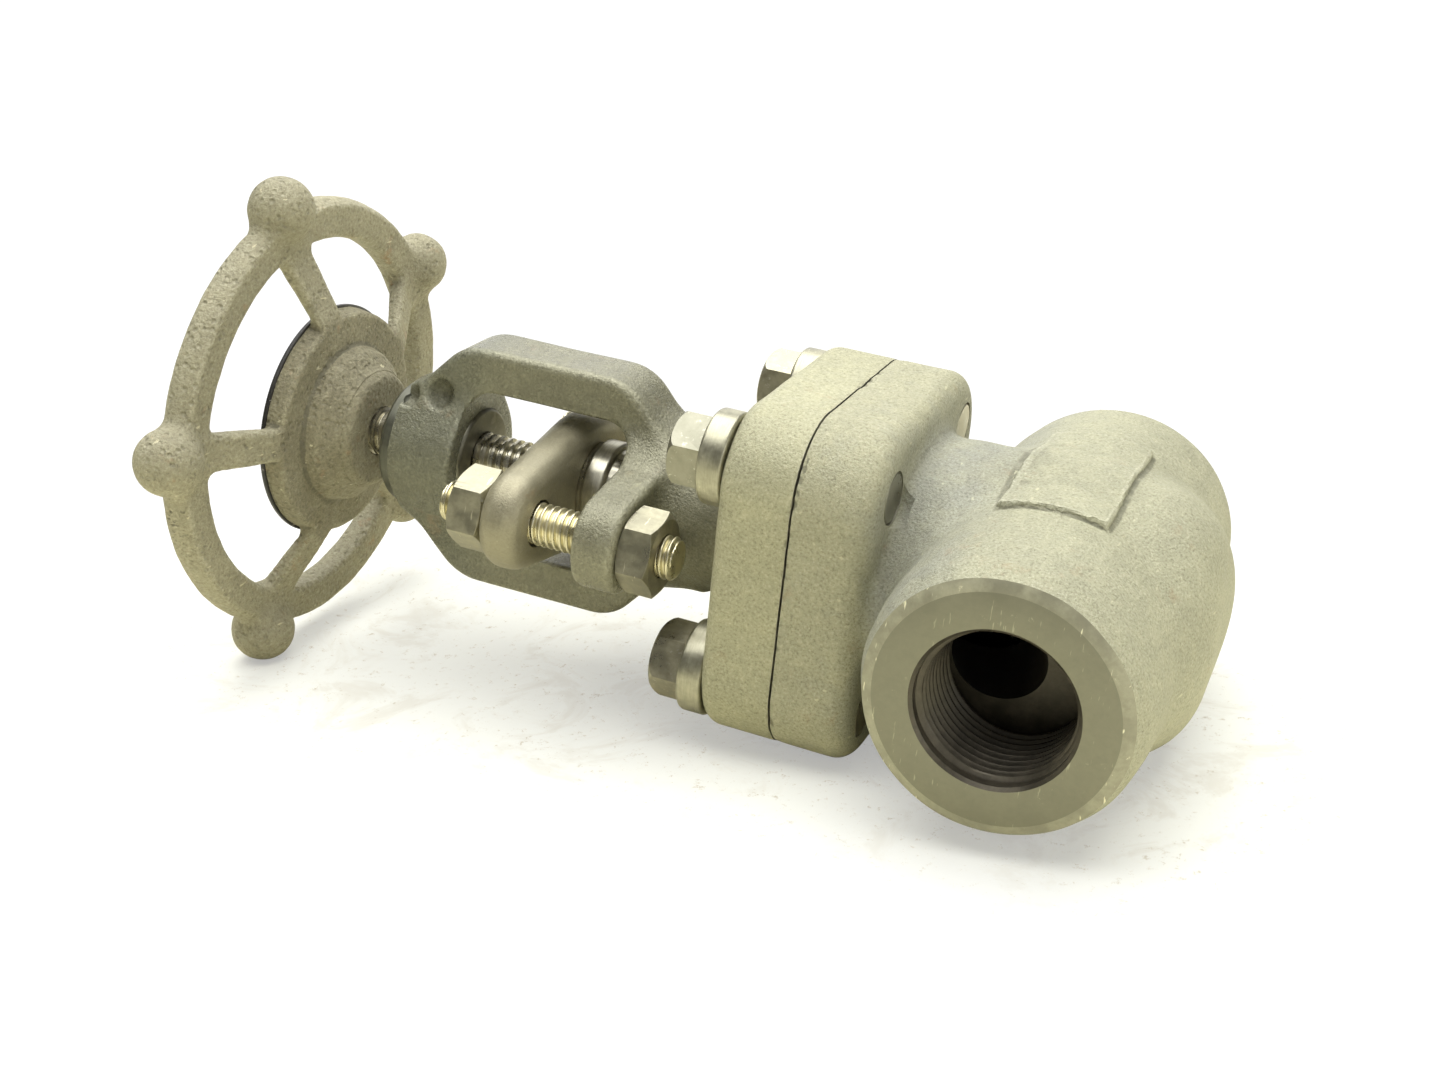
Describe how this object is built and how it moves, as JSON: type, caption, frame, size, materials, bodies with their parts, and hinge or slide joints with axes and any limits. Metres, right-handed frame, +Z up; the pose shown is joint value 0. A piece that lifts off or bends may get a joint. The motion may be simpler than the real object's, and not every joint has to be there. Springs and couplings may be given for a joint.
{
  "type": "needle valve",
  "caption": "Bolted-bonnet needle valve with yoke, studded gland, threaded ports and a spoked handwheel with ball lobes; turning the wheel lifts the needle off its seat.",
  "frame": {"origin": "where the axis of the two ports crosses the axis of the stem, inside the body", "axes": "+Z up the stem to the handwheel; +X out of the inlet port, -X out of the outlet port; -Y out of the body's blank name pad, with the yoke arms on +Y and -Y and the gland studs on +X and -X"},
  "size_m": [0.0984, 0.0994, 0.1919],
  "materials": {
    "forged_body": "matte, shot-blasted forged steel",
    "forged_bonnet": "matte, shot-blasted forged steel",
    "bolt_steel": "satin",
    "collar_steel": "satin",
    "stem_steel": "turned and polished, oily in the thread",
    "bushing_steel": "machined",
    "gland_steel": "matte forged steel",
    "follower_steel": "turned and polished",
    "stud_steel": "bright, rolled thread",
    "nut_steel": "satin",
    "wheel_casting": "rough casting",
    "plate_metal": "dark, blank",
    "washer_steel": "satin",
    "wheel_nut_steel": "satin",
    "trim_steel": "machined and lapped",
    "gasket_steel": "spiral wound",
    "graphite": "moulded graphite"
  },
  "bodies": {
    "valve_body": {"body": "forged_body", "seat_ring": "trim_steel", "bonnet": "forged_bonnet", "bonnet_bolts": "bolt_steel", "bonnet_bolt_collars": "collar_steel", "bonnet_gasket": "gasket_steel", "backseat_bushing": "trim_steel", "packing_ring_1": "graphite", "packing_ring_2": "graphite", "packing_ring_3": "graphite", "packing_ring_4": "graphite", "packing_ring_5": "graphite", "gland_stud_left": "stud_steel", "gland_stud_right": "stud_steel", "lug_nuts": "nut_steel", "yoke_bushing": "bushing_steel"},
    "needle": {"needle_plug": "trim_steel", "plug_nut": "trim_steel"},
    "spindle": {"stem": "stem_steel", "handwheel": "wheel_casting", "wheel_plate": "plate_metal", "wheel_washer": "washer_steel", "wheel_nut": "wheel_nut_steel"},
    "gland": {"gland_flange": "gland_steel", "gland_follower": "follower_steel"},
    "left_gland_nut": {"gland_nut_left": "nut_steel"},
    "right_gland_nut": {"gland_nut_right": "nut_steel"}
  },
  "joints": [
    {"name": "stem_lift", "type": "slide", "parent": "valve_body", "child": "needle", "axis": [0, 0, 1], "range_m": [-0.0008, 0.0072]},
    {"name": "stem_turn", "type": "hinge", "parent": "needle", "child": "spindle", "pos_m": [0, 0, 0.15], "axis": [0, 0, 1], "range_deg": [-160, 1440]},
    {"name": "gland_takeup", "type": "slide", "parent": "valve_body", "child": "gland", "axis": [0, 0, -1], "range_m": [0, 0.003], "deforming": ["packing_ring_1", "packing_ring_2", "packing_ring_3", "packing_ring_4", "packing_ring_5"]},
    {"name": "left_gland_nut_turn", "type": "hinge", "parent": "gland", "child": "left_gland_nut", "pos_m": [-0.0229, 0, 0.1045], "axis": [0, 0, -1], "range_deg": [0, 766]},
    {"name": "right_gland_nut_turn", "type": "hinge", "parent": "gland", "child": "right_gland_nut", "pos_m": [0.0229, 0, 0.1045], "axis": [0, 0, -1], "range_deg": [0, 766]}
  ],
  "couplings": [
    {"joint": "stem_lift", "follows": "stem_turn", "m_per_rad": 0.00028647},
    {"joint": "left_gland_nut_turn", "follows": "gland_takeup", "rad_per_m": 4453},
    {"joint": "right_gland_nut_turn", "follows": "gland_takeup", "rad_per_m": 4453}
  ]
}
